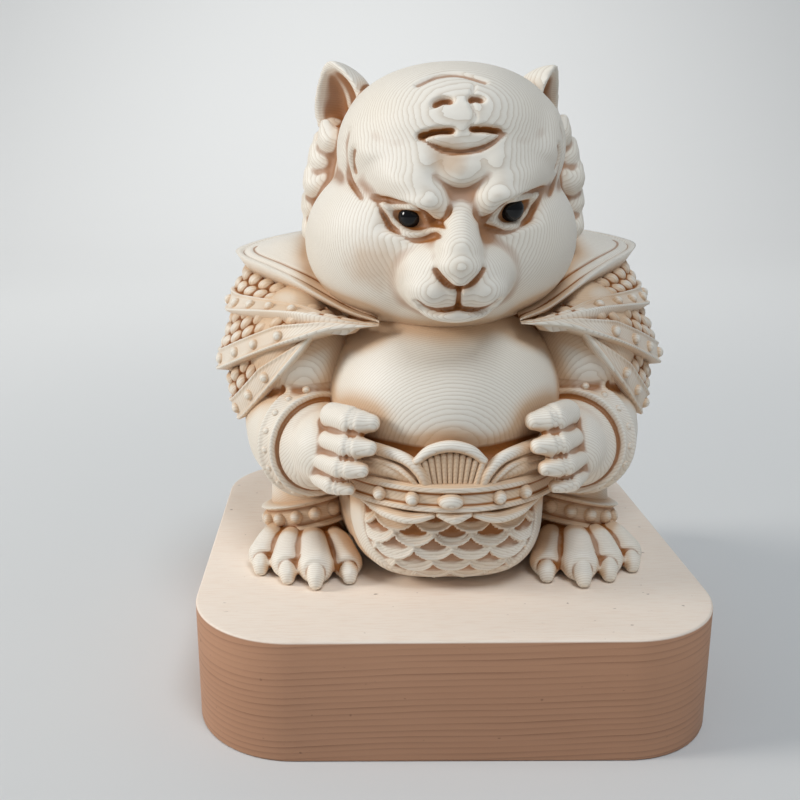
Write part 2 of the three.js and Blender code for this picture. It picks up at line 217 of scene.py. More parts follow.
class Block:
    """A heap of closed forms, carved into one skin when it is ready."""

    def __init__(self):
        self.forms = []

    def form(self):
        """A new form, still empty."""
        self.forms.append(bmesh.new())
        return self.forms[-1]

    def egg(self, at, radii, turn=(0, 0, 0), power=2.0, segments=36):
        """An ellipsoid; a power above 2 squares it."""
        bm = self.form()
        bmesh.ops.create_uvsphere(bm, u_segments=segments, v_segments=segments // 2, radius=1)
        if power != 2.0:
            for v in bm.verts:
                v.co /= sum(abs(c) ** power for c in v.co) ** (1 / power)
        turned = Euler([math.radians(a) for a in turn])
        place = Matrix.LocRotScale(Vector(at), turned, Vector(radii))
        bmesh.ops.transform(bm, matrix=place, verts=bm.verts)

    def limb(self, points, radii, around=20, along=28, flat=1.0):
        """A round-ended limb: a sphere drawn out along a smooth curve.
        radii are spread evenly along it, and flat is its upright thickness as a share of them."""
        bm = self.form()
        steps = 64
        curve, length = smooth_path(points, steps)
        stations = np.linspace(0, 1, len(radii))
        bmesh.ops.create_uvsphere(bm, u_segments=around, v_segments=along, radius=1)
        start, end = radii[0] / length, radii[-1] / length
        up = Vector((0, 0, 1))
        for v in bm.verts:
            reach = math.acos(max(-1, min(1, v.co.z))) / math.pi
            whole = reach * (1 + start + end) - start
            t = max(0.0, min(1.0, whole))
            over = (whole - t) * length
            r = float(np.interp(t, stations, radii))
            ring = r * math.sqrt(max(0.0, 1 - (over / r) ** 2))
            if abs(v.co.z) > 0.9999:
                ring = 0.0
            angle = math.atan2(v.co.y, v.co.x)
            k = min(steps - 1, int(t * steps))
            at = Vector(curve[k]).lerp(Vector(curve[k + 1]), t * steps - k)
            ahead = Vector(curve[k + 1] - curve[k]).normalized()
            side = ahead.cross(up).normalized()
            lift = side.cross(ahead).normalized()
            v.co = at + ahead * over
            v.co += side * (ring * math.cos(angle)) + lift * (ring * flat * math.sin(angle))

    def wrap(self, along, around, place):
        """A grid rolled into a tube: place maps u (along) and t (around), both 0 to 1, to points."""
        bm = self.form()
        bmesh.ops.create_grid(bm, x_segments=along, y_segments=around, size=0.5)
        flat = np.array([v.co for v in bm.verts])
        for v, point in zip(bm.verts, place(flat[:, 0] + 0.5, flat[:, 1] + 0.5)):
            v.co = point
        bmesh.ops.remove_doubles(bm, verts=bm.verts, dist=2e-3)
        bmesh.ops.recalc_face_normals(bm, faces=bm.faces)

    def slab(self, outline, thick, bevel, place):
        """A flat plate: an outline of (x, y) points, extruded down and bevelled, then placed."""
        bm = self.form()
        face = bm.faces.new([bm.verts.new((x, y, 0)) for x, y in outline])
        made = bmesh.ops.extrude_face_region(bm, geom=[face])
        low = [v for v in made["geom"] if isinstance(v, bmesh.types.BMVert)]
        bmesh.ops.translate(bm, vec=(0, 0, -thick), verts=low)
        bmesh.ops.recalc_face_normals(bm, faces=bm.faces)
        bmesh.ops.bevel(
            bm, geom=bm.edges[:], offset=bevel, segments=3, profile=0.5, affect="EDGES", material=-1
        )
        bmesh.ops.transform(bm, matrix=place, verts=bm.verts)

    def mirror(self):
        """A copy of this block on the other side of the middle."""
        other = Block()
        for bm in self.forms:
            copy = bm.copy()
            bmesh.ops.scale(copy, vec=(-1, 1, 1), verts=copy.verts)
            bmesh.ops.reverse_faces(copy, faces=copy.faces)
            other.forms.append(copy)
        return other

    def add(self, other):
        self.forms.extend(other.forms)
        return self

    def merge(self):
        """All forms in one mesh."""
        whole = bmesh.new()
        for bm in self.forms:
            mesh = bpy.data.meshes.new("passing")
            bm.to_mesh(mesh)
            bm.free()
            whole.from_mesh(mesh)
            bpy.data.meshes.remove(mesh)
        self.forms = [whole]
        return whole

    def carve(self, voxel, relax):
        """One closed skin over every form, its creases eased by relax passes of smoothing."""
        mesh = bpy.data.meshes.new("rough")
        bm = self.merge()
        bm.to_mesh(mesh)
        bm.free()
        rough = bpy.data.objects.new("rough", mesh)
        bpy.context.scene.collection.objects.link(rough)
        skin = rough.modifiers.new("skin", "REMESH")
        skin.mode = "VOXEL"
        skin.voxel_size = voxel
        ease = rough.modifiers.new("ease", "SMOOTH")
        ease.factor = 0.5
        ease.iterations = relax
        shaped = rough.evaluated_get(bpy.context.evaluated_depsgraph_get()).to_mesh()
        out = bmesh.new()
        out.from_mesh(shaped)
        bpy.data.objects.remove(rough)
        bpy.data.meshes.remove(mesh)
        self.forms = [out]


def cut(block, at, facing):
    """Cuts away all of the block behind a plane and closes the cut."""
    bm = block.merge()
    geom = bm.verts[:] + bm.edges[:] + bm.faces[:]
    made = bmesh.ops.bisect_plane(bm, geom=geom, plane_co=at, plane_no=facing, clear_inner=True)
    rim = [e for e in made["geom_cut"] if isinstance(e, bmesh.types.BMEdge)]
    bmesh.ops.holes_fill(bm, edges=rim)


def cut_floor(block):
    """Cuts the block off flat at its soles."""
    cut(block, (0, 0, 0.02), (0, 0, 1))


class Skin:
    """The points and outward normals of a carved block, for cutting grooves and raising ridges."""

    def __init__(self, block):
        self.bm = block.merge()
        self.bm.normal_update()
        self.at = np.array([v.co for v in self.bm.verts])
        self.normal = np.array([v.normal for v in self.bm.verts])
        self.rise = np.zeros(len(self.at))

    def distance(self, points, steps=40, see=(1, 1, 1)):
        """Distance from every point to a smooth curve, and how far along it; see drops axes."""
        curve, _ = smooth_path(points, steps)
        see = np.array(see, float)
        curve = curve * see
        at = self.at * see
        best = np.full(len(at), 1e9)
        where = np.zeros(len(at))
        reach = np.linalg.norm(np.ptp(curve, axis=0)) / 2 + 6
        near = np.linalg.norm(at - (curve.min(0) + curve.max(0)) / 2, axis=1) < reach
        p, low, share = at[near], best[near], where[near]
        for k in range(steps):
            a, b = curve[k], curve[k + 1]
            t = ramp((p - a) @ (b - a) / max(1e-9, (b - a) @ (b - a)))
            d = np.linalg.norm(p - a - t[:, None] * (b - a), axis=1)
            closer = d < low
            low[closer] = d[closer]
            share[closer] = (k + t[closer]) / steps
        best[near], where[near] = low, share
        return best, where

    def stroke(self, points, width, height, fade=0.8, see=(1, 1, 1), where=None):
        """Raises a line, or cuts it where height is negative. fade thins its ends."""
        d, t = self.distance(points, see=see)
        ends = ramp(np.minimum(t, 1 - t) / 0.2) ** 0.5
        amount = height * (1 - fade + fade * ends) * np.exp(-((d / width) ** 3))
        self.rise += amount if where is None else amount * where

    def dent(self, at, radii, depth, power=2.0):
        """A soft hollow round a point, or a swelling where depth is negative."""
        q = np.abs((self.at - np.array(at)) / np.array(radii)) ** power
        self.rise -= depth * np.exp(-q.sum(1))

    def write(self):
        """The block again, with every point moved by its rise."""
        for v, point in zip(self.bm.verts, self.at + self.normal * self.rise[:, None]):
            v.co = point
        block = Block()
        block.forms = [self.bm]
        return block


def hollows(mesh, passes=20):
    """How deep each point lies below its smoothed surroundings, in mm, kept as an attribute."""
    n = len(mesh.vertices)
    at = read(mesh.vertices, "co", 3)
    ends = np.empty(len(mesh.edges) * 2, int)
    mesh.edges.foreach_get("vertices", ends)
    a, b = ends[0::2], ends[1::2]
    count = np.maximum(np.bincount(a, minlength=n) + np.bincount(b, minlength=n), 1)
    soft = at
    for _ in range(passes):
        sums = [np.bincount(a, soft[b, k], n) + np.bincount(b, soft[a, k], n) for k in range(3)]
        soft = np.column_stack(sums) / count[:, None]
    mark_points(mesh, "hollow", ((soft - at) * read(mesh.vertices, "normal", 3)).sum(1))


def finish_piece(name, block, node, slot, lift=SOLES):
    """Makes the object, in metres at the origin, riding on the part."""
    bm = block.merge()
    bmesh.ops.translate(bm, vec=(0, 0, lift), verts=bm.verts)
    mesh = bpy.data.meshes.new(name)
    bm.to_mesh(mesh)
    bm.free()
    hollows(mesh)
    mesh.transform(Matrix.Scale(MM, 4))
    mesh.polygons.foreach_set("use_smooth", [True] * len(mesh.polygons))
    mesh.materials.append(finish(slot))
    obj = bpy.data.objects.new(name, mesh)
    bpy.context.scene.collection.objects.link(obj)
    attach(obj, "root")
    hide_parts(node)


def figure_piece(name, block):
    """One piece of the carving, which stands on the plinth."""
    finish_piece(name, block, "tiger_figure", "carved_wood")


# Head

# The skull stands this far to the viewer's right of the muzzle.
HEAD_SHIFT = 0.8
# Strokes on the face are laid out as seen from the front, so their distances leave y out.
FRONT = (1, 0, 1)


def bead_at(side):
    """The middle of an eye bead, from the solid it covers."""
    low, high = (Vector(corner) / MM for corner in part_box("eye_left" if side < 0 else "eye_right"))
    return (low + high) / 2 - Vector((0, 0, SOLES))


def head_x(side):
    """Turns a distance from the middle of the face into x."""
    return lambda value: HEAD_SHIFT + side * value


def ear(block, side):
    """A leaf-shaped cup that opens forwards and outwards."""
    bm = block.form()
    bmesh.ops.create_uvsphere(bm, u_segments=48, v_segments=32, radius=1)
    outwards = 50 if side < 0 else 64
    cup = 0.86
    turn = Euler((math.radians(-6), math.radians(side * 11), math.radians(side * outwards)), "ZYX")
    seat = Matrix.Translation((0.3 + side * 20, 1.6, 92.4 - side * 0.8)) @ turn.to_matrix().to_4x4()
    for v in bm.verts:
        x, y, z = v.co
        rho = min(1.0, math.hypot(x, z))
        taper = 1 - 0.42 * max(0.0, z) ** 1.6
        if y < 0:
            # the front half folds inwards inside a rim and makes the cup, with a keel down its middle
            wall = min(1.0, rho / cup)
            depth = 4.8 * (1 - wall**2) + 0.5 * wall
            keel = 0.9 * math.exp(-((x * 7.0 / 1.1) ** 2)) * (1 - rho) if rho < cup else 0
            reach = -2.4 + depth - keel
        else:
            reach = 6.8 * y - 2.0 * (1 - y)
        v.co = seat @ Vector((x * 7.3 * taper, reach, z * 9.0))
    bmesh.ops.recalc_face_normals(bm, faces=bm.faces)


# The tufts of one side of the mane from the top down: place, lean in degrees and radius.
MANE = [
    (24.6, 1.8, 85.0, 40, 2.4),
    (26.2, 2.0, 81.2, 30, 2.7),
    (27.0, 2.2, 77.2, 20, 2.8),
    (27.4, 2.4, 73.0, 10, 2.8),
    (27.4, 2.6, 68.8, 0, 2.7),
    (26.6, 3.0, 64.8, -10, 2.6),
    (25.0, 3.4, 61.2, -22, 2.4),
]


def mane(block, side):
    """Three rows of tufts along the edge of the cheek, their tips curling upwards."""
    for index, (x, y, z, lean, r) in enumerate(MANE):
        a = math.radians(lean)
        out = Vector((side * math.cos(a), 0.1, math.sin(a)))
        root = Vector((HEAD_SHIFT + side * (x - 4.6), y - 1.4, z))
        for row in range(3):
            back = Vector((-side * 0.8 * row, 4.5 * row + 1.3 * ((index + row) % 2), (row % 2) * 2.1))
            middle = root + out * 4 + Vector((0, 0.4 * row - 0.6, -0.9)) + back
            tip = root + out * 5.6 + Vector((0, 1.4 * row - 0.2, 1.2)) + back
            block.limb([root + back, middle, tip], [r + 1.9, r + 0.9, r * 0.5], 14, 16)


def face_strokes(skin):
    """Everything cut with a fine tool: lids, nostrils, mouth, and stripes on the forehead."""
    ahead = ramp(-skin.normal[:, 1] * 3 + 0.6)
    facing = ramp(-skin.normal[:, 1] * 3)
    for side in (-1, 1):
        x = head_x(side)
        bead = bead_at(side)
        lid = [(5.2, 2.9), (2.9, -0.9), (-0.6, -2.6), (-4.9, -1.8)]
        crease = [(6.1, 2.6), (3.5, -2.1), (-0.6, -3.9), (-5.3, -2.8)]
        fold = [(6.8, 3.4), (2.6, 2.6), (-0.2, 1.9), (-3.2, -0.6), (-5.6, -1.6)]
        for path, width, height in ((lid, 0.55, 0.55), (crease, 0.45, -0.5), (fold, 0.5, -0.9)):
            path = [(bead.x + side * dx, 0, bead.z + dz) for dx, dz in path]
            skin.stroke(path, width, height, see=FRONT, where=ahead)
        # temple marks
        slot = [(x(18.6), 0, 84.8), (x(19), 0, 82.4), (x(18.6), 0, 80)]
        skin.stroke(slot, 0.5, -0.9, see=FRONT, where=facing)
        edge = [(x(19.6), 0, 88.4), (x(20.4), 0, 84.6), (x(19.6), 0, 79.4), (x(17.4), 0, 75.6)]
        skin.stroke(edge, 0.45, -0.6, see=FRONT, where=facing)
        nostril = [(side * 4.3, 0, 64), (side * 3.4, 0, 62.8), (side * 1.7, 0, 61.2), (0, 0, 60.5)]
        skin.stroke(nostril, 0.45, -1.0, fade=0.3, see=FRONT, where=ahead)
        mouth = [(side * 7.5, 0, 58.3), (side * 5.6, 0, 57), (side * 3, 0, 56.5), (0, 0, 57.2)]
        skin.stroke(mouth, 0.42, -0.95, fade=0.5, see=FRONT, where=ahead)
    cleft = [(0, 0, 60.8), (0, 0, 59.2), (0, 0, 57.4)]
    skin.stroke(cleft, 0.45, -0.9, fade=0.2, see=FRONT, where=ahead)
    lip = [(-7.6, 0, 57.2), (-4, 0, 55.7), (0, 0, 55.3), (4, 0, 55.7), (7.6, 0, 57.2)]
    skin.stroke(lip, 0.8, 0.4, see=FRONT, where=ahead)
    stripes = [
        ([(-6.6, 0, 95.4), (-3, 0, 96.9), (1, 0, 97.1), (5.6, 0, 95.6)], 0.4, -0.7),
        ([(-3.9, 0, 91.9), (-2.4, 0, 92.6), (-0.9, 0, 92.5)], 0.6, -1.5),
        ([(2.4, 0, 92.7), (3.5, 0, 92.8), (4.6, 0, 92.5)], 0.55, -1.3),
        ([(-6.4, 0, 86.6), (-3.4, 0, 87.3), (-0.8, 0, 87.3)], 0.55, -2.0),
        ([(2.6, 0, 87.5), (5, 0, 87.5), (7.6, 0, 87.1)], 0.55, -1.8),
        ([(3.4, 0, 95), (2.5, 0, 92), (3.2, 0, 89.6), (1.6, 0, 87.2)], 0.35, -0.3),
        ([(-6.4, 0, 86.2), (-2.6, 0, 84.2), (1, 0, 83.7), (5.2, 0, 84.6), (8.6, 0, 86.8)], 0.45, -0.7),
    ]
    for path, width, height in stripes:
        skin.stroke(path, width, height, fade=0.5, see=FRONT, where=ahead)


def head():
    """Head, ears and mane, with the face cut into them."""
    block = Block()
    # jaw and cheeks, skull, forehead cap, muzzle, bridge of the nose
    block.egg((-0.8, -8.4, 67), (27, 22.6, 18.2), power=2.1, segments=64)
    block.egg((0, -13.4, 59.6), (17.4, 16, 10.4), segments=48)
    block.egg((HEAD_SHIFT, -2, 75), (23, 23, 24.4), power=2.1, segments=64)
    block.egg((HEAD_SHIFT, -6, 86), (21.2, 24.4, 14.6), power=2.15, segments=64)
    block.egg((0.2, -26.6, 62), (11.2, 11, 8.2), segments=40)
    block.egg((HEAD_SHIFT, -12.6, 80.8), (13.6, 18.4, 8.8), segments=48)
    block.limb([(0.8, -25, 79), (0.6, -29.6, 73), (0.1, -34.8, 66.8)], [2.4, 3.1, 4.2])
    for side in (-1, 1):
        x = head_x(side)
        block.egg((x(6.6), -13, 82), (9.8, 17.3, 9.2), segments=48)
        block.egg((x(14.2), -10.6, 84), (7.8, 13.8, 11), segments=40)
        brow = [(x(18.4), -15, 81.4), (x(14.2), -20.8, 79.8), (x(9.4), -26.9, 78.4), (x(5.2), -29.6, 74.9)]
        block.limb(brow, [2.6, 3.7, 4.1, 3.5], along=36)
    block.carve(0.6, 24)
    block.egg((0, -35.6, 64.6), (4.4, 4.1, 3.2), segments=32)
    block.egg((0, -35.8, 62.7), (2.6, 3.5, 2.2), segments=24)
    block.egg((0, -31.2, 56.4), (6.4, 4.6, 2.6), segments=32)
    for side in (-1, 1):
        x = head_x(side)
        block.egg((side * 4.2, -31.6, 60.2), (5.2, 5.5, 4.2), segments=32)
        block.limb([(x(10.8), -25.2, 78.2), (x(8.2), -27.4, 77.4), (x(5.7), -28.9, 75.9)], [3, 3.3, 3.1])
        mane(block, side)
    block.carve(0.5, 4)
    for side in (-1, 1):
        ear(block, side)
    block.carve(0.44, 2)
    skin = Skin(block)
    for side in (-1, 1):
        x = head_x(side)
        bead = bead_at(side)
        skin.dent((bead.x + side * 1.3, -27, bead.z - 0.7), (4.3, 7, 2), 1.4, 4)
        skin.dent((bead.x - side * 1.1, -28, bead.z + 2.5), (3.3, 7, 1.3), -1)
        skin.dent((x(5.8), -30, 81.2), (3, 8, 2.6), -0.7)
        skin.dent((x(14.4), -22, 83.4), (3.4, 8, 2.4), -1.2)
        beside = [(x(1.9), -31.5, 77.4), (x(2), -32.5, 74.8), (x(3), -32.5, 72.4), (x(5.4), -31, 71.2)]
        skin.stroke(beside, 0.45, -0.7)
    skin.dent((0.7, -30.5, 79.2), (4, 8, 2.4), -1.2)
    face_strokes(skin)
    return skin.write()


# Shoulder armour

# The rims of the collar and of the three lames below it, on one side, from beside the chin
# round the shoulder to the back.
RIMS = [
    [(13.4, -22.6, 52.3), (20.5, -18.6, 54.2), (30.6, -7.6, 58.2), (37, 0, 60.2), (43.4, 7.4, 62.2),
     (42.6, 12, 63.6), (34, 18.5, 65.4), (20, 26.4, 66.6), (0, 28.8, 67)],
    [(13.5, -22.8, 52.0), (23.6, -19.8, 52.5), (30, -16.4, 52.6), (37, -9.8, 52.0), (42.6, -2.4, 51.1),
     (45.4, 4.4, 50.4), (44.4, 12, 50.6), (36, 21, 52), (22, 28, 54), (0, 30.4, 55)],
    [(13.5, -23.0, 51.8), (22.2, -21.2, 50.9), (28.6, -19.2, 48.6), (36, -14.4, 45.2), (42, -8.2, 41.8),
     (46.8, -1.2, 38.6), (47, 6, 37.8), (43, 15, 39.6), (33, 24.6, 43.6), (18, 29.6, 47.6), (0, 31, 49.4)],
    [(13.5, -22.6, 51.8), (21.8, -20.4, 51.4), (26.4, -19.2, 49), (30.4, -18.2, 44), (35.6, -14.4, 37),
     (41.2, -7.4, 29.8), (42.6, -1, 28.2), (40.8, 9, 29), (34, 19.6, 32.6), (20, 27.4, 37.4), (0, 30, 40)],
]


def rim_point(level, u, inset=0.0, raised=0.0):
    """Points along a rim, u from front to back, pulled in towards the body by inset."""
    curve, _ = smooth_path(RIMS[level], 160)
    k = ramp(u) * 160
    at = np.column_stack([np.interp(k, np.arange(161), curve[:, i]) for i in range(3)])
    inwards = unit(np.array([0, 4, 0]) - at * np.array([1, 1, 0]))
    fade = ramp(u / 0.12)[:, None]
    return at + inwards * inset * fade + np.array([0, 0, raised]) * fade


# Length of a lame from the chin to the middle of the back, and the distance between its studs.
LAME_LENGTH = 92
STUD_PITCH = 5.9


def lame_frame(level, u, v):
    """Points, outward normals and local height of a lame between two rims."""
    def at(u, v):
        top = rim_point(level - 1, u, 2.6, -2.6) if level == 1 else rim_point(level - 1, u, 1.7, 1)
        low = rim_point(level, u)
        bulge = np.sin(np.pi * ramp(v))[:, None]
        out = low - np.array([0, 4, 0])
        out[:, 2] = 0
        out = unit(out)
        height = np.linalg.norm(low - top, axis=1)[:, None]
        return top + (low - top) * v[:, None] + out * bulge * height * 0.07, height[:, 0]

    step = 2e-3
    point, height = at(u, v)
    du = at(ramp(u + step), v)[0] - at(ramp(u - step), v)[0]
    dv = at(u, v + step)[0] - at(u, v - step)[0]
    return point, unit(np.cross(dv, du)), height


def strip_width(height):
    """The width of a lame's strip, which narrows with the lame itself."""
    return np.minimum(measure("strip"), 0.62 * height)


def lame_relief(u, v, height):
    """Round bumps over the upper part, and a strip with corded edges along the lower."""
    below = (1 - v) * height
    wide = strip_width(height)
    across = u * LAME_LENGTH
    strip = ramp((wide - below) / 0.3)
    cord = 0.5 * ridge(below, 0.6, 0.42) + 0.4 * ridge(below - wide, -0.5, 0.36)
    bumps = 1.7 * pebbles(across, wide - below, measure("bump"), 2.8) - 1.1
    full = np.clip(height / 8, 0.12, 1)
    return full * (strip * (0.6 + cord) + (1 - strip) * bumps)


def fold_under(t, face):
    """Folds the way round a plate over its rim: whether t is past the plate's face, which takes
    that share of the way, and how far down the plate it is, 0 to 1."""
    under = t > face
    return under, np.where(under, 1 - (t - face) / (1 - face), t / face)


def lame(block, level):
    """One lame, with a row of studs on its strip."""
    def place(u, t):
        under, v = fold_under(t, 0.72)
        point, normal, height = lame_frame(level, u, v)
        thick = np.clip(height / 3, 0.05, 1) * np.clip(u / 0.06, 0.05, 1) * 2.6
        lift = np.where(under, -thick, lame_relief(u, v, height))
        return point + normal * lift[:, None]

    block.wrap(230, 72, place)
    for stud in np.arange(0.2, 0.99, STUD_PITCH / LAME_LENGTH):
        u = np.array([stud])
        height = lame_frame(level, u, np.array([1.0]))[2]
        if height[0] > 5.5:
            v = 1 - 0.5 * strip_width(height) / height
            point, normal, _ = lame_frame(level, u, v)
            block.egg(point[0] + normal[0] * 0.5, [measure("strip_stud")] * 3, segments=16)


def armour():
    """The three lames of one shoulder."""
    block = Block()
    for level in (1, 2, 3):
        lame(block, level)
    return block


def collar():
    """One thick plate whose wings stand out over the shoulders, with two grooves along its rim."""
    block = Block()

    def place(u, t):
        under, v = fold_under(t, 0.62)
        rim = rim_point(0, u)
        rim[:, 2] += 0.5
        inner = rim_point(0, u, 17, 2.4)
        inner[:, 0] = np.maximum(inner[:, 0], 0)
        # the outer face leans inwards on its way down
        reach = np.maximum(np.linalg.norm(rim - inner, axis=1), 1e-6)
        v = np.where(under, v * (1 - 2.6 * ramp(u / 0.3) / np.maximum(reach, 5)), v)
        at = inner + (rim - inner) * v[:, None]
        inset = (1 - v) * np.linalg.norm(rim - inner, axis=1)
        groove = -0.6 * ridge(inset, 2.0, 0.34) - 0.45 * ridge(inset, 4.4, 0.3) * (u < 0.5)
        thick = 0.3 + 4.3 * ramp(u / 0.35)
        at[:, 2] += np.where(under, -thick, groove)
        return at

    block.wrap(210, 60, place)
    return block


# Body


def trunk():
    """Belly, back and seat, with the tail curled against them."""
    block = Block()
    # belly, waist, seat, back and shoulders
    block.egg((0, -7, 35.8), (24.6, 25.6, 20.4), segments=64)
    block.egg((0, -5.6, 23), (25, 28.2, 8.5), power=2.4, segments=64)
    block.egg((0, -2, 13), (22.4, 28.4, 17), power=2.4, segments=48)
    block.egg((0, 6, 34), (28, 22, 27), power=2.3, segments=48)
    block.egg((0, 7, 54), (33, 20.5, 13), segments=48)
    block.carve(0.8, 10)
    tail = [(0, 22, 4), (9, 28, 7), (12.4, 29, 15), (7, 28.4, 22.5), (-1.6, 28, 24.5), (-4, 28.5, 20.6)]
    block.limb(tail, [4, 3.8, 3.6, 3.3, 3, 2.4], along=48)
    block.carve(0.72, 4)
    cut_floor(block)
    return block


# The middle of the waistband and its half widths, seen from above.
BELT_AT = (0, -3.6)
BELT_RADII = (26.2, 32)


def belt_point(degrees, out, z):
    """A point on the waistband, degrees from the middle of the front."""
    a = np.radians(degrees)
    x = BELT_AT[0] + (BELT_RADII[0] + out) * np.sin(a)
    y = BELT_AT[1] - (BELT_RADII[1] + out) * np.cos(a)
    return x, y, z


def belt():
    """The waistband with its studs and buckle, the hems below it and the panels and fan above."""
    block = Block()
    # how far out and how high the band's section stands, once round it
    profile = np.array(
        [(-3, 18.6), (0.2, 18.6), (0.9, 19), (0.9, 19.8), (0.45, 20.2), (0.3, 22.4), (0.8, 22.8),
         (0.8, 23.6), (0.2, 24), (-3, 24), (-3, 18.6)]
    )

    def band(u, t):
        share = t * (len(profile) - 1)
        out = np.interp(share, np.arange(len(profile)), profile[:, 0])
        z = np.interp(share, np.arange(len(profile)), profile[:, 1])
        return np.column_stack(belt_point(u * 360, out, z))

    block.wrap(300, 50, band)
    for degrees in (-31, -17, 18.5, 31):
        block.egg(belt_point(degrees, 0.5, 21.2), [measure("belt_stud")] * 3, segments=20)
    block.egg(belt_point(-1.6, 0.4, 21), (2.5, 1.5, 1.55), segments=32)
    # hems that hang below the band
    for side in (-1, 1):
        hem = [belt_point(side * d, -0.2, z) for d, z in ((9, 18), (17, 17), (27, 17.3), (40, 18.8))]
        block.limb(hem, [0.9, 1.5, 1.5, 0.8], flat=0.8)
        inner = [belt_point(side * d, 0.2, z) for d, z in ((11, 18.2), (19, 17.6), (28, 18), (36, 18.6))]
        block.limb(inner, [0.4, 0.6, 0.6, 0.4])
        # leaf-shaped panels beside the fan
        panel = [(side * 7.6, -31.8, 24.6), (side * 11.6, -30, 26), (side * 17, -26.2, 26.6)]
        block.limb(panel, [2, 2.6, 2.6], flat=0.9)
        rim = [(side * x, y, z) for x, y, z in
               ((5.3, -34.3, 23.9), (6.6, -34.1, 26.4), (9.6, -32.6, 28.6), (17.6, -27.6, 29.9))]
        block.limb(rim, [1.0, 1.15, 1.2, 1.2], along=40)
        vein = [(side * x, y, z) for x, y, z in
                ((7.2, -34.2, 23.9), (8.6, -33.8, 25.4), (11.4, -32.2, 26.9), (17.6, -28.4, 27.3))]
        block.limb(vein, [0.5, 0.65, 0.7, 0.7], along=40)
    hem = [belt_point(d, -0.1, z) for d, z in ((-6, 18.3), (0, 17.5), (6, 18.3))]
    block.limb(hem, [0.8, 1.2, 0.8])
    fan(block)
    return block


# The fan: its middle in x, how high its foot stands, and how many flutes it has.
FAN_MIDDLE = -0.8
FAN_FOOT = 23
FLUTES = 9


def fan(block):
    """Flutes that spread from the buckle, inside an arched rim."""
    def spot(x, z, proud=0.0):
        return FAN_MIDDLE + x, -34.6 + 0.16 * (z - FAN_FOOT) - proud, z

    outline = [(-4, 0), (4, 0), (5.8, 5), (4, 7.2), (0, 8.2), (-4, 7.2), (-5.8, 5)]
    place = Matrix.Translation(spot(0, FAN_FOOT, -0.5)) @ Matrix.Rotation(math.radians(81), 4, "X")
    block.slab(outline, 4, 0.3, place)
    for k in range(FLUTES):
        t = 2 * k / (FLUTES - 1) - 1
        top = FAN_FOOT + 6.4 - 1.4 * t * t
        block.limb([spot(t * 3.5, FAN_FOOT), spot(t * 4.7, top, 0.1)], [0.4, 0.62], 12, 16)
    for side in (-1, 1):
        block.limb([spot(side * 4.6, FAN_FOOT, 0.1), spot(side * 6.1, 28, 0.2)], [0.6, 0.7])
    arch = ((-6.3, 28.2, 0.3), (-3.8, 30.2, 0.5), (0, 31.1, 0.6), (3.8, 30.2, 0.5), (6.3, 28.2, 0.3))
    rim = [spot(*point) for point in arch]
    block.limb(rim, [0.8, 1.1, 1.15, 1.1, 0.8], along=40)


def apron():
    """A pouch of scales below the belt, inside a flat rim."""
    block = Block()
    block.egg((0, -9.6, 13.6), (20, 23, 14.2), power=3, segments=64)
    block.carve(0.5, 1)
    cut(block, (0, -4, 0), (0, -1, 0))
    block.carve(0.37, 1)
    skin = Skin(block)
    x, y, z = skin.at.T
    # the rows of scales bend round the pouch at about its own radius
    bend = 21
    around = np.arctan2(x, -(y + 9.6)) * bend
    down = -np.arctan2(z - 13.4, np.hypot(x, y + 9.6)) * bend
    # edge is 1 where the scales end and the rim begins, an arch hung from just below the belt
    half, drop = 16.6, 12.4
    edge = np.hypot(x / half, np.maximum(14 - z, 0) / drop)
    inside = ramp((1 - edge) / 0.03) * (y < -12) * ramp((z - 1.2) / 1.2)
    scales = shingles(around, down, measure("apron_scale"), 2.7, 2.7, 1.2, 0.5) - 1.0
    border = ramp((edge - 1) / 0.03) * ramp((1.17 - edge) / 0.03) * (y < -8)
    groove = ridge(edge, 1.2, 0.02) * (y < -8)
    skin.rise += inside * scales + 0.35 * border - 0.5 * groove
    block = skin.write()
    cut_floor(block)
    return block


# Arms

# The middle of the cuff's front edge, and the way the arm points there.
CUFF_AT = np.array([25.4, -17, 26.4])
CUFF_AXIS = np.array([-0.42, -0.9, 0.03])
# The fingers from the thumb's side down: root, tip and thickness.
FINGERS = [
    ((22.4, -25.2, 34.6), (13.8, -31.0, 34.6), 2.9),
    ((23.0, -27.0, 30.2), (14.4, -33.2, 30.4), 2.5),
    ((24.2, -27, 26.2), (16.0, -33.6, 26.2), 2.4),
    ((25.2, -25.6, 22.4), (18.6, -32, 22.0), 2.2),
]


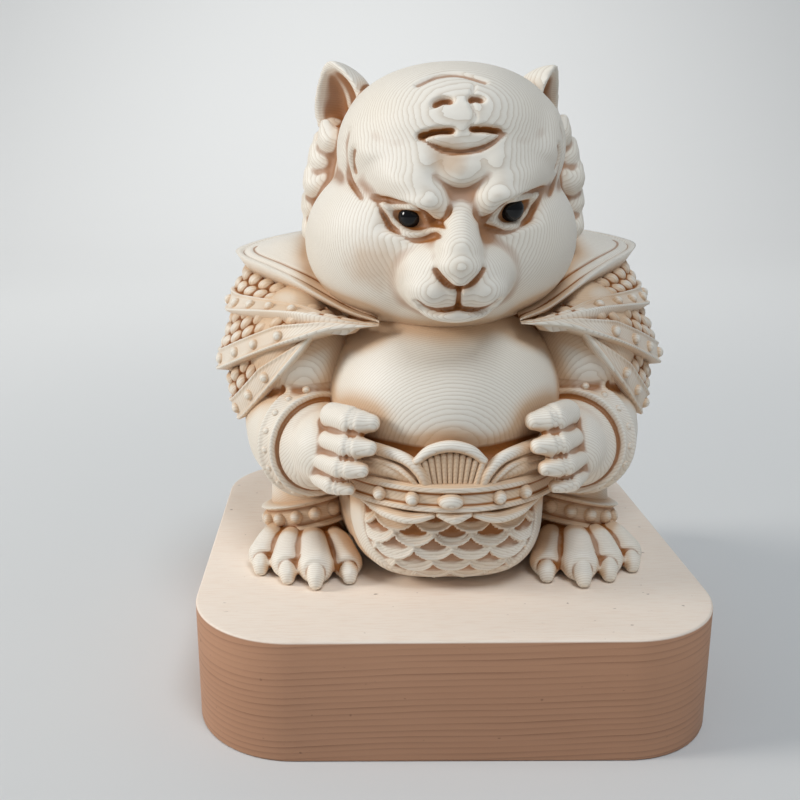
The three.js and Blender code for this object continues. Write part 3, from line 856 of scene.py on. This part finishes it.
def arm():
    """Sleeve, studded cuff and a hand with four fingers."""
    block = Block()
    block.egg((28.6, -2.4, 43), (12.2, 15, 14.5), segments=48)
    sleeve = [(31.4, 1, 34), (29.6, -6, 28), (27.4, -12.5, 26.6), (25.4, -17, 26.4), (24, -20.2, 26.8)]
    block.limb(sleeve, [10.6, 11.6, 12.2, 11.6, 7.6], 32, 40)
    block.carve(0.7, 5)
    for root, tip, thick in FINGERS:
        root, tip = Vector(root), Vector(tip)
        ahead = (tip - root).normalized()
        knuckle = root.lerp(tip, 0.36) + Vector((0, -1.2, 0.1))
        block.limb([root + Vector((0, 0.4, 0)), knuckle], [thick * 0.94, thick], 20, 24)
        bent = root.lerp(tip, 0.56) + Vector((0, -0.8, 0))
        block.limb([bent, tip - ahead * thick * 0.6], [thick * 0.92, thick * 0.62], 20, 24)
    block.carve(0.38, 2)
    skin = Skin(block)
    axis = CUFF_AXIS / np.linalg.norm(CUFF_AXIS)
    along = (skin.at - CUFF_AT) @ axis
    aside = np.linalg.norm(skin.at - CUFF_AT - along[:, None] * axis, axis=1)
    # the cuff stands proud between two grooves, with a cord inside each
    real = ramp((39 - skin.at[:, 2]) / 3) * ramp((14.8 - aside) / 0.6)
    skin.rise += real * 0.45 * ramp(-along / 0.3) * ramp((along + 3.6) / 0.3)
    rings = ((0.3, -0.5, 0.3), (-3.9, -0.9, 0.3), (-0.6, 0.5, 0.45), (-3.1, 0.5, 0.45))
    for where, height, width in rings:
        skin.rise += real * height * ridge(along, where, width)
    for root, tip, thick in FINGERS:
        root, tip = np.array(root), np.array(tip)
        ahead = (tip - root) / np.linalg.norm(tip - root)
        reach = (skin.at - root) @ ahead
        aside = np.linalg.norm(skin.at - root - reach[:, None] * ahead, axis=1)
        near = ramp((thick * 1.5 - aside) / 0.6)
        for where in (5.6, 6.5):
            skin.rise -= near * 0.2 * ridge(reach, where, 0.26)
    side = np.cross(axis, [0, 0, 1])
    side /= np.linalg.norm(side)
    up = np.cross(side, axis)
    studs = []
    count, behind = 18, 1.85
    for k in range(count):
        a = 2 * math.pi * k / count
        target = CUFF_AT - axis * behind + 11.4 * (math.cos(a) * side + math.sin(a) * up)
        nearest = skin.at[np.argmin(np.linalg.norm(skin.at - target, axis=1))]
        if abs((nearest - CUFF_AT) @ axis + behind) < 1 and nearest[2] < 38.5:
            studs.append(nearest)
    block = skin.write()
    for at in studs:
        block.egg(at, [measure("cuff_stud")] * 3, segments=16)
    return block


def paw():
    """Leg, anklet and foot with four clawed toes."""
    block = Block()
    block.limb([(28, -5, 20), (28.2, -6, 10), (28.4, -7, 4)], [8.4, 8.3, 8.6])
    block.egg((28.8, -10, 2.8), (9.4, 10.5, 3.2), segments=32)
    block.carve(0.6, 6)
    # each toe: start, tip, radius and the point of its claw, seen from above
    toes = [
        ((33.8, -9), (37.6, -18.2), 3.1, (38, -23.2)),
        ((31.2, -12), (32.4, -22.3), 3.3, (32, -27.6)),
        ((27.8, -13), (26.5, -24.8), 3.6, (26.4, -30.2)),
        ((24, -12), (20.2, -22.6), 3.1, (19.6, -27.6)),
    ]
    for (sx, sy), (tx, ty), r, (cx, cy) in toes:
        start, tip = Vector((sx, sy, 4.4)), Vector((tx, ty, r * 0.92))
        middle = start.lerp(tip, 0.5) + Vector((0, 0, 0.9))
        block.limb([start, middle, tip], [r * 0.84, r * 0.98, r * 1.04], 24, 32)
        claw = Vector((cx, cy, 1.0))
        root = tip.lerp(claw, 0.35) + Vector((0, 0, -0.1))
        arch = root.lerp(claw, 0.5) + Vector((0, 0, 0.5))
        block.limb([root, arch, tip.lerp(claw, 0.78)], [2.3, 2.1, 1.5])
    block.carve(0.4, 2)
    skin = Skin(block)
    for (sx, sy), (tx, ty), r, (cx, cy) in toes:
        ahead = np.array([cx - tx, cy - ty])
        ahead = ahead / np.linalg.norm(ahead)
        rel = skin.at[:, :2] - np.array([tx, ty])
        along = rel @ ahead
        aside = np.abs(rel @ np.array([-ahead[1], ahead[0]]))
        skin.rise -= 0.4 * (aside < r * 0.8) * ridge(along, 0.86 * r, 0.3)
    block = skin.write()
    cut_floor(block)
    turn = Matrix.Translation((28.4, -6, 8.4)) @ Matrix.Rotation(math.radians(12), 4, "Y")
    turn = turn @ Matrix.Rotation(math.radians(-11), 4, "X")

    def anklet(u, t):
        a, b = u * 2 * math.pi, t * 2 * math.pi
        out = 7.2 + 2 * np.sqrt(np.abs(np.cos(b))) * np.sign(np.cos(b))
        up = 3.4 * np.sin(b)
        ribs = ridge(up, 2.7, 0.55) + ridge(up, -2.7, 0.55)
        out = out + 1.3 * ribs * (np.cos(b) > -0.3)
        local = np.column_stack([out * np.cos(a), out * np.sin(a), up, np.ones(len(u))])
        return (local @ np.array(turn).T)[:, :3]

    block.wrap(150, 44, anklet)
    beads = 14
    for k in range(beads):
        a = 2 * math.pi * k / beads
        at = turn @ Vector((9.2 * math.cos(a), 9.2 * math.sin(a), 0))
        block.egg(at, [measure("anklet_bead")] * 3, segments=16)
    return block


# Eyes and plinth


def eye(node):
    """A bead of the same size and place as its solid."""
    low, high = (Vector(corner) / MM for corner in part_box(node))
    block = Block()
    block.egg((low + high) / 2, [(high.z - low.z) / 2] * 3, segments=48)
    finish_piece(node + "_bead", block, node, "eye_bead", 0)


def plinth():
    """A square block with round corners and an eased edge."""
    half = (PLINTH_HIGH.x - PLINTH_LOW.x) / 2
    round_off = measure("plinth_corner")
    outline = []
    steps = 20
    for corner in range(4):
        middle = math.radians(45 + 90 * corner)
        x, y = (math.copysign(half - round_off, f(middle)) for f in (math.cos, math.sin))
        for k in range(steps + 1):
            a = math.radians(90 * (corner + k / steps))
            outline.append((x + round_off * math.cos(a), y + round_off * math.sin(a)))
    block = Block()
    place = Matrix.Translation((0, 0, PLINTH_HIGH.z))
    block.slab(outline, PLINTH_HIGH.z - PLINTH_LOW.z, measure("plinth_edge"), place)
    finish_piece("plinth_block", block, "plinth", "plinth_wood", 0)


# Painted shade from crowding

FIGURE_PIECES = (
    "head", "armour_left", "armour_right", "collar", "trunk", "belt", "apron",
    "arm_left", "arm_right", "paw_left", "paw_right",
)
# The crowding is counted in cells of this many millimetres, each blurred over its neighbours,
# and read a little way out from the surface.
CELL = 0.8
SPREAD = 2
PROBE = 2.6
MARGIN = 8


def crevices():
    """Marks the painted shade of each point, from 0 to 1, kept as an attribute: more where other surfaces
    crowd it and where it faces down.
    """
    meshes = [bpy.data.objects[name].data for name in FIGURE_PIECES]
    middle = np.vstack([read(mesh.polygons, "center", 3) for mesh in meshes]) / MM
    area = np.vstack([read(mesh.polygons, "area") for mesh in meshes])[:, 0] / MM**2
    low = middle.min(0) - MARGIN
    size = np.ceil((middle.max(0) + MARGIN - low) / CELL).astype(int)
    index = ((middle - low) / CELL).astype(int)
    flat = (index[:, 0] * size[1] + index[:, 1]) * size[2] + index[:, 2]
    crowd = np.bincount(flat, area, size.prod()).reshape(size)
    for axis in (0, 1, 2):
        for _ in range(3):
            total = np.cumsum(crowd, axis=axis)
            crowd = np.roll(total, -SPREAD, axis) - np.roll(total, SPREAD + 1, axis)
    # one flat sheet through the middle of the blur gives this much
    sheet = CELL**2 * (2 * SPREAD + 1) ** 8 * 0.75
    for mesh in meshes:
        at = read(mesh.vertices, "co", 3)
        normal = read(mesh.vertices, "normal", 3)
        spot = (at / MM + PROBE * normal - low) / CELL - 0.5
        base = np.clip(spot.astype(int), 0, size - 2)
        part = ramp(spot - base)
        value = np.zeros(len(at))
        for corner in np.ndindex(2, 2, 2):
            weight = np.prod(np.where(np.array(corner) == 1, part, 1 - part), axis=1)
            where = base + corner
            value += weight * crowd[where[:, 0], where[:, 1], where[:, 2]]
        # surfaces that face down get more painted shade, as light falls from above
        under = ramp(-normal[:, 2] - 0.25)
        mark_points(mesh, "shade", ramp((value / sheet - 0.5) / 0.9 + 0.4 * under))


# Materials


class Wire:
    """A number that changes over the surface. Arithmetic on it adds Math nodes."""

    def __init__(self, paint, socket):
        self.paint = paint
        self.socket = socket

    def __add__(self, other):
        return self.paint.math("ADD", self, other)

    def __sub__(self, other):
        return self.paint.math("SUBTRACT", self, other)

    def __rsub__(self, other):
        return self.paint.math("SUBTRACT", other, self)

    def __mul__(self, other):
        return self.paint.math("MULTIPLY", self, other)

    def __truediv__(self, other):
        return self.paint.math("DIVIDE", self, other)

    def __pow__(self, other):
        return self.paint.math("POWER", self, other)

    __radd__ = __add__
    __rmul__ = __mul__

    def clamp(self):
        return self.paint.math("MINIMUM", self.paint.math("MAXIMUM", self, 0.0), 1.0)


class Paint:
    """One material and the nodes that feed its shader."""

    def __init__(self, name, roughness):
        self.material = bpy.data.materials.new(name)
        self.material.use_nodes = True
        self.tree = self.material.node_tree
        self.shader = self.tree.nodes["Principled BSDF"]
        self.shader.inputs["Roughness"].default_value = roughness
        spot = self.node("ShaderNodeTexCoord").outputs["Object"]
        # the pattern's own units are millimetres
        self.spot = self.vector("MULTIPLY", spot, (1 / MM, 1 / MM, 1 / MM))
        parts = self.node("ShaderNodeSeparateXYZ", {}, {"Vector": self.spot}).outputs
        self.x, self.y, self.z = (Wire(self, parts[k]) for k in range(3))

    def node(self, kind, settings=None, sockets=None):
        made = self.tree.nodes.new(kind)
        for key, value in (settings or {}).items():
            setattr(made, key, value)
        for key, value in (sockets or {}).items():
            self.plug(value, made.inputs[key])
        return made

    def plug(self, value, socket):
        if isinstance(value, Wire):
            value = value.socket
        if isinstance(value, bpy.types.NodeSocket):
            self.tree.links.new(value, socket)
        else:
            socket.default_value = value

    def math(self, operation, *values):
        made = self.node("ShaderNodeMath", {"operation": operation}, dict(enumerate(values)))
        return Wire(self, made.outputs[0])

    def vector(self, operation, a, b):
        return self.node("ShaderNodeVectorMath", {"operation": operation}, {0: a, 1: b}).outputs[0]

    def size(self, vector):
        made = self.node("ShaderNodeVectorMath", {"operation": "LENGTH"}, {0: vector})
        return Wire(self, made.outputs[1])

    def noise(self, size, stretch=(1, 1, 1), detail=2.0):
        """Noise from 0 to 1 whose lumps are about size millimetres across, longer by stretch."""
        spot = self.vector("MULTIPLY", self.spot, [1 / (size * s) for s in stretch])
        sockets = {"Vector": spot, "Scale": 1.0, "Detail": detail, "Roughness": 0.5}
        return Wire(self, self.node("ShaderNodeTexNoise", {}, sockets).outputs[0])

    def attribute(self, name):
        settings = {"attribute_name": name, "attribute_type": "GEOMETRY"}
        return Wire(self, self.node("ShaderNodeAttribute", settings).outputs["Fac"])

    def mix(self, share, a, b):
        """Colour a turning into colour b as share goes from 0 to 1."""
        return self.node("ShaderNodeMix", {"data_type": "RGBA"}, {0: share, 6: a, 7: b}).outputs[2]

    def colour(self, value):
        self.plug(value, self.shader.inputs["Base Color"])

    def bump(self, height, depth):
        """Relief in the surface's finish: height from 0 to 1 stands for depth millimetres."""
        sockets = {"Height": height, "Distance": depth * MM, "Strength": 1.0}
        made = self.node("ShaderNodeBump", {}, sockets)
        self.plug(made.outputs[0], self.shader.inputs["Normal"])


# The log's heart runs left to right behind the figure, so its growth rings show as contour lines.
HEART = (32, 58)
# Darker patches: a stained patch in the wood on the brow, and painted shade on the lower cheek: middle,
# reach and strength.
STAIN_AND_SHADE_PATCHES = [((-1.6, -30, 83), (4.2, 8, 3.6), 0.6), ((-14, -27, 64), (7, 9, 5.5), 0.45)]


def carved_wood():
    """Pale close-grained wood, with painted shade in every groove and where pieces crowd one another."""
    paint = Paint("carved_wood_finish", 0.55)
    y = paint.y - HEART[0]
    z = paint.z - (SOLES + HEART[1])
    wander = 0.7 * paint.noise(14, (2, 1, 1)) + 0.3 * paint.noise(1.6, (2.4, 1, 1))
    radius = (y * y + z * z) ** 0.5 + wander
    ring = paint.math("FRACT", radius / measure("ring"))
    line = ring ** 3.0
    patch = paint.noise(22)
    # painted shade in grooves, from how deep each point lies below its smoothed surroundings
    groove_shade = (paint.attribute("hollow") * 7.5 - 0.12).clamp()
    shade = paint.attribute("shade").clamp()
    wood = paint.mix(patch, hue("pale"), hue("warm"))
    wood = paint.mix(line * (0.55 - 0.3 * groove_shade), wood, hue("line"))
    # a stained patch on the brow, painted shade on the lower cheek
    for (x, y, z), reach, depth in STAIN_AND_SHADE_PATCHES:
        away = paint.vector("SUBTRACT", paint.spot, (x, y, z + SOLES))
        away = paint.size(paint.vector("DIVIDE", away, reach))
        wood = paint.mix(((1.3 - away - 0.5 * paint.noise(3)) * 1.6).clamp() * depth, wood, hue("stain_and_shade"))
    # painted shade where pieces crowd one another and where the surface faces down
    wood = paint.mix(shade * 0.58, wood, hue("shade"))
    # painted shade in grooves, deeper where pieces crowd one another
    wood = paint.mix(groove_shade * (0.62 + 0.5 * shade).clamp(), wood, hue("groove_shade"))
    paint.colour(wood)
    paint.bump(ring * 0.8 + 0.5 * paint.noise(0.35), 0.05)
    return paint.material


def plinth_wood():
    """Pinkish wood with level grain along its sides and fine pores on top; the sides are darker, partly
    for their own wood and partly as painted shade.
    """
    paint = Paint("plinth_wood_finish", 0.6)
    top = ((paint.z - (SOLES - 0.5)) * 4.0).clamp()
    level = paint.z - 0.04 * paint.x + 3 * paint.noise(34, (2, 2, 1)) + 0.5 * paint.noise(4, (8, 8, 1))
    layer = paint.math("FRACT", level / 1.25) ** 3.0
    streak = paint.noise(0.5, (9, 1, 1), 3.0)
    bold = (paint.noise(1.7, (30, 30, 1), 1.0) * 2.6 - 0.75).clamp()
    side = paint.mix(paint.noise(16, (3, 3, 1)), hue("side"), hue("side_deep"))
    side = paint.mix(layer * bold * 0.6, side, hue("grain"))
    face = paint.mix(paint.noise(18, (3, 1, 1)), hue("top"), hue("top_deep"))
    face = paint.mix((streak * 2.4 - 1.1).clamp() * 0.4, face, hue("streak"))
    pore = ((paint.noise(1.1, (1.6, 1, 1), 1.0) - 0.76) * 14.0).clamp()
    # the sides darker than the top: partly their own wood, partly painted shade
    wood = paint.mix(top, side, face)
    wood = paint.mix(pore * 0.7, wood, hue("pore"))
    paint.colour(wood)
    paint.bump(streak + layer * 0.5, 0.03)
    return paint.material


def eye_bead():
    """Glossy black beads."""
    paint = Paint("eye_bead_finish", 0.05)
    paint.colour(hue("bead"))
    paint.shader.inputs["IOR"].default_value = 1.4
    return paint.material


MATERIALS = {"carved_wood": carved_wood, "plinth_wood": plinth_wood, "eye_bead": eye_bead}


def finish(slot):
    """The finish of a slot, made when it is first asked for."""
    return bpy.data.materials.get(slot + "_finish") or MATERIALS[slot]()


# Stage


def light(name, at, toward, size, power, color):
    """A round soft light that faces a point."""
    data = bpy.data.lights.new(name, "AREA")
    data.shape = "DISK"
    data.size = size
    data.energy = power
    data.color = color
    lamp = bpy.data.objects.new(name, data)
    lamp.location = at
    lamp.rotation_euler = (Vector(toward) - Vector(at)).to_track_quat("-Z", "Y").to_euler()
    bpy.context.scene.collection.objects.link(lamp)


# The floor, in metres: half its width, and where and how steeply it sweeps up into a backdrop.
FLOOR_HALF = 3
SWEEP_FROM = 0.7
SWEEP_RISE = 0.9
# The camera: its place in millimetres, its turn, tilt and roll in degrees, its lens and shift.
CAMERA_AT = (-20.09, -202.59, 109.34)
CAMERA_TURN = (-1.565, 14.798, -1.158)
CAMERA_LENS = 42.885
CAMERA_SHIFT = 0.1


def lay_floor():
    """A plain floor that sweeps up into a backdrop."""
    mesh = bpy.data.meshes.new("floor")
    bm = bmesh.new()
    bmesh.ops.create_grid(bm, x_segments=1, y_segments=60, size=FLOOR_HALF)
    for v in bm.verts:
        v.co.z = SWEEP_RISE * max(0.0, v.co.y - SWEEP_FROM) ** 2
    for face in bm.faces:
        face.smooth = True
    bm.to_mesh(mesh)
    bm.free()
    material = bpy.data.materials.new("floor")
    material.use_nodes = True
    shader = material.node_tree.nodes["Principled BSDF"]
    shader.inputs["Base Color"].default_value = hue("floor")
    shader.inputs["Roughness"].default_value = 0.9
    mesh.materials.append(material)
    floor = bpy.data.objects.new("floor", mesh)
    bpy.context.scene.collection.objects.link(floor)


def hang_lights():
    """A faint sky, a strong light from the left, one above and one for the backdrop."""
    world = bpy.data.worlds.new("studio")
    bpy.context.scene.world = world
    world.use_nodes = True
    sky = world.node_tree.nodes["Background"].inputs
    sky["Color"].default_value = (0.86, 0.92, 1.0, 1)
    sky["Strength"].default_value = 0.27
    light("key", (-1.06, -0.14, 0.54), (0, 0, 0.07), 0.36, 7.6, (1, 0.97, 0.93))
    light("above", (0.15, -0.5, 1.12), (0, 0, 0.07), 0.5, 6.1, (0.86, 0.93, 1))
    light("backdrop", (0, 0.5, 0.9), (0, 1.6, 0.2), 0.6, 7, (1, 1, 1))
    bpy.context.scene.view_settings.view_transform = "Standard"


def set_camera():
    """The camera at the photograph's angle."""
    data = bpy.data.cameras.new("view")
    data.lens = CAMERA_LENS
    data.sensor_width = 36
    data.shift_x = CAMERA_SHIFT
    view = bpy.data.objects.new("view", data)
    turn, tilt, roll = (math.radians(a) for a in CAMERA_TURN)
    view.matrix_world = (
        Matrix.Translation(Vector(CAMERA_AT) * MM)
        @ Matrix.Rotation(-turn, 4, "Z")
        @ Matrix.Rotation(math.pi / 2 - tilt, 4, "X")
        @ Matrix.Rotation(roll, 4, "Z")
    )
    bpy.context.scene.collection.objects.link(view)
    bpy.context.scene.camera = view


# Add-on


def pair(name, block):
    """The same carving on the viewer's right and, mirrored, on the viewer's left."""
    figure_piece(name + "_left", block.mirror())
    figure_piece(name + "_right", block)


class TIGER_OT_head(bpy.types.Operator):
    """Carve the head with its ears, mane and face"""

    bl_idname = "tiger.head"
    bl_label = "Head"

    def execute(self, context):
        figure_piece("head", head())
        return {"FINISHED"}


class TIGER_OT_armour(bpy.types.Operator):
    """Carve the studded plates over both shoulders"""

    bl_idname = "tiger.armour"
    bl_label = "Shoulder Armour"

    def execute(self, context):
        pair("armour", armour())
        return {"FINISHED"}


class TIGER_OT_collar(bpy.types.Operator):
    """Carve the winged collar above the shoulder armour"""

    bl_idname = "tiger.collar"
    bl_label = "Collar"

    def execute(self, context):
        right = collar()
        figure_piece("collar", right.add(right.mirror()))
        return {"FINISHED"}


class TIGER_OT_trunk(bpy.types.Operator):
    """Carve the body with its belly, back and tail"""

    bl_idname = "tiger.trunk"
    bl_label = "Trunk"

    def execute(self, context):
        figure_piece("trunk", trunk())
        return {"FINISHED"}


class TIGER_OT_belt(bpy.types.Operator):
    """Carve the studded belt, its fan and its hems"""

    bl_idname = "tiger.belt"
    bl_label = "Belt"

    def execute(self, context):
        figure_piece("belt", belt())
        return {"FINISHED"}


class TIGER_OT_apron(bpy.types.Operator):
    """Carve the scaled apron below the belt"""

    bl_idname = "tiger.apron"
    bl_label = "Apron"

    def execute(self, context):
        figure_piece("apron", apron())
        return {"FINISHED"}


class TIGER_OT_arms(bpy.types.Operator):
    """Carve both arms with their cuffs and hands"""

    bl_idname = "tiger.arms"
    bl_label = "Arms"

    def execute(self, context):
        pair("arm", arm())
        return {"FINISHED"}


class TIGER_OT_paws(bpy.types.Operator):
    """Carve both legs with their anklets and clawed toes"""

    bl_idname = "tiger.paws"
    bl_label = "Paws"

    def execute(self, context):
        pair("paw", paw())
        return {"FINISHED"}


class TIGER_OT_crevice_shade(bpy.types.Operator):
    """Mark painted shade where the carved pieces crowd one another and where they face down"""

    bl_idname = "tiger.crevices"
    bl_label = "Crevices"

    def execute(self, context):
        crevices()
        return {"FINISHED"}


class TIGER_OT_eyes(bpy.types.Operator):
    """Make both glossy eye beads"""

    bl_idname = "tiger.eyes"
    bl_label = "Eyes"

    def execute(self, context):
        for node in ("eye_left", "eye_right"):
            eye(node)
        return {"FINISHED"}


class TIGER_OT_plinth(bpy.types.Operator):
    """Make the plinth"""

    bl_idname = "tiger.plinth"
    bl_label = "Plinth"

    def execute(self, context):
        plinth()
        return {"FINISHED"}


class TIGER_OT_stage(bpy.types.Operator):
    """Set out the floor, the lights and the camera"""

    bl_idname = "tiger.stage"
    bl_label = "Stage"

    def execute(self, context):
        lay_floor()
        hang_lights()
        set_camera()
        return {"FINISHED"}


STEPS = (
    TIGER_OT_head,
    TIGER_OT_armour,
    TIGER_OT_collar,
    TIGER_OT_trunk,
    TIGER_OT_belt,
    TIGER_OT_apron,
    TIGER_OT_arms,
    TIGER_OT_paws,
    TIGER_OT_crevice_shade,
    TIGER_OT_eyes,
    TIGER_OT_plinth,
    TIGER_OT_stage,
)


class TIGER_PT_build(bpy.types.Panel):
    """The settings and the steps of the build, in order"""

    bl_idname = "TIGER_PT_build"
    bl_label = "Carved Wood Tiger"
    bl_space_type = "VIEW_3D"
    bl_region_type = "UI"
    bl_category = "Tiger"

    def draw(self, context):
        for group in (context.scene.tiger_sizes, context.scene.tiger_colours):
            box = self.layout.box()
            for name in type(group).__annotations__:
                box.prop(group, name)
        for step in STEPS:
            self.layout.operator(step.bl_idname)


CLASSES = (TigerSizes, TigerColours, *STEPS, TIGER_PT_build)


def register():
    for made in CLASSES:
        bpy.utils.register_class(made)
    bpy.types.Scene.tiger_sizes = bpy.props.PointerProperty(type=TigerSizes)
    bpy.types.Scene.tiger_colours = bpy.props.PointerProperty(type=TigerColours)


def unregister():
    del bpy.types.Scene.tiger_colours
    del bpy.types.Scene.tiger_sizes
    for made in reversed(CLASSES):
        bpy.utils.unregister_class(made)


def main():
    register()
    bpy.ops.tiger.head()
    bpy.ops.tiger.armour()
    bpy.ops.tiger.collar()
    bpy.ops.tiger.trunk()
    bpy.ops.tiger.belt()
    bpy.ops.tiger.apron()
    bpy.ops.tiger.arms()
    bpy.ops.tiger.paws()
    bpy.ops.tiger.crevices()
    bpy.ops.tiger.eyes()
    bpy.ops.tiger.plinth()
    bpy.ops.tiger.stage()


if __name__ == "__main__":
    main()
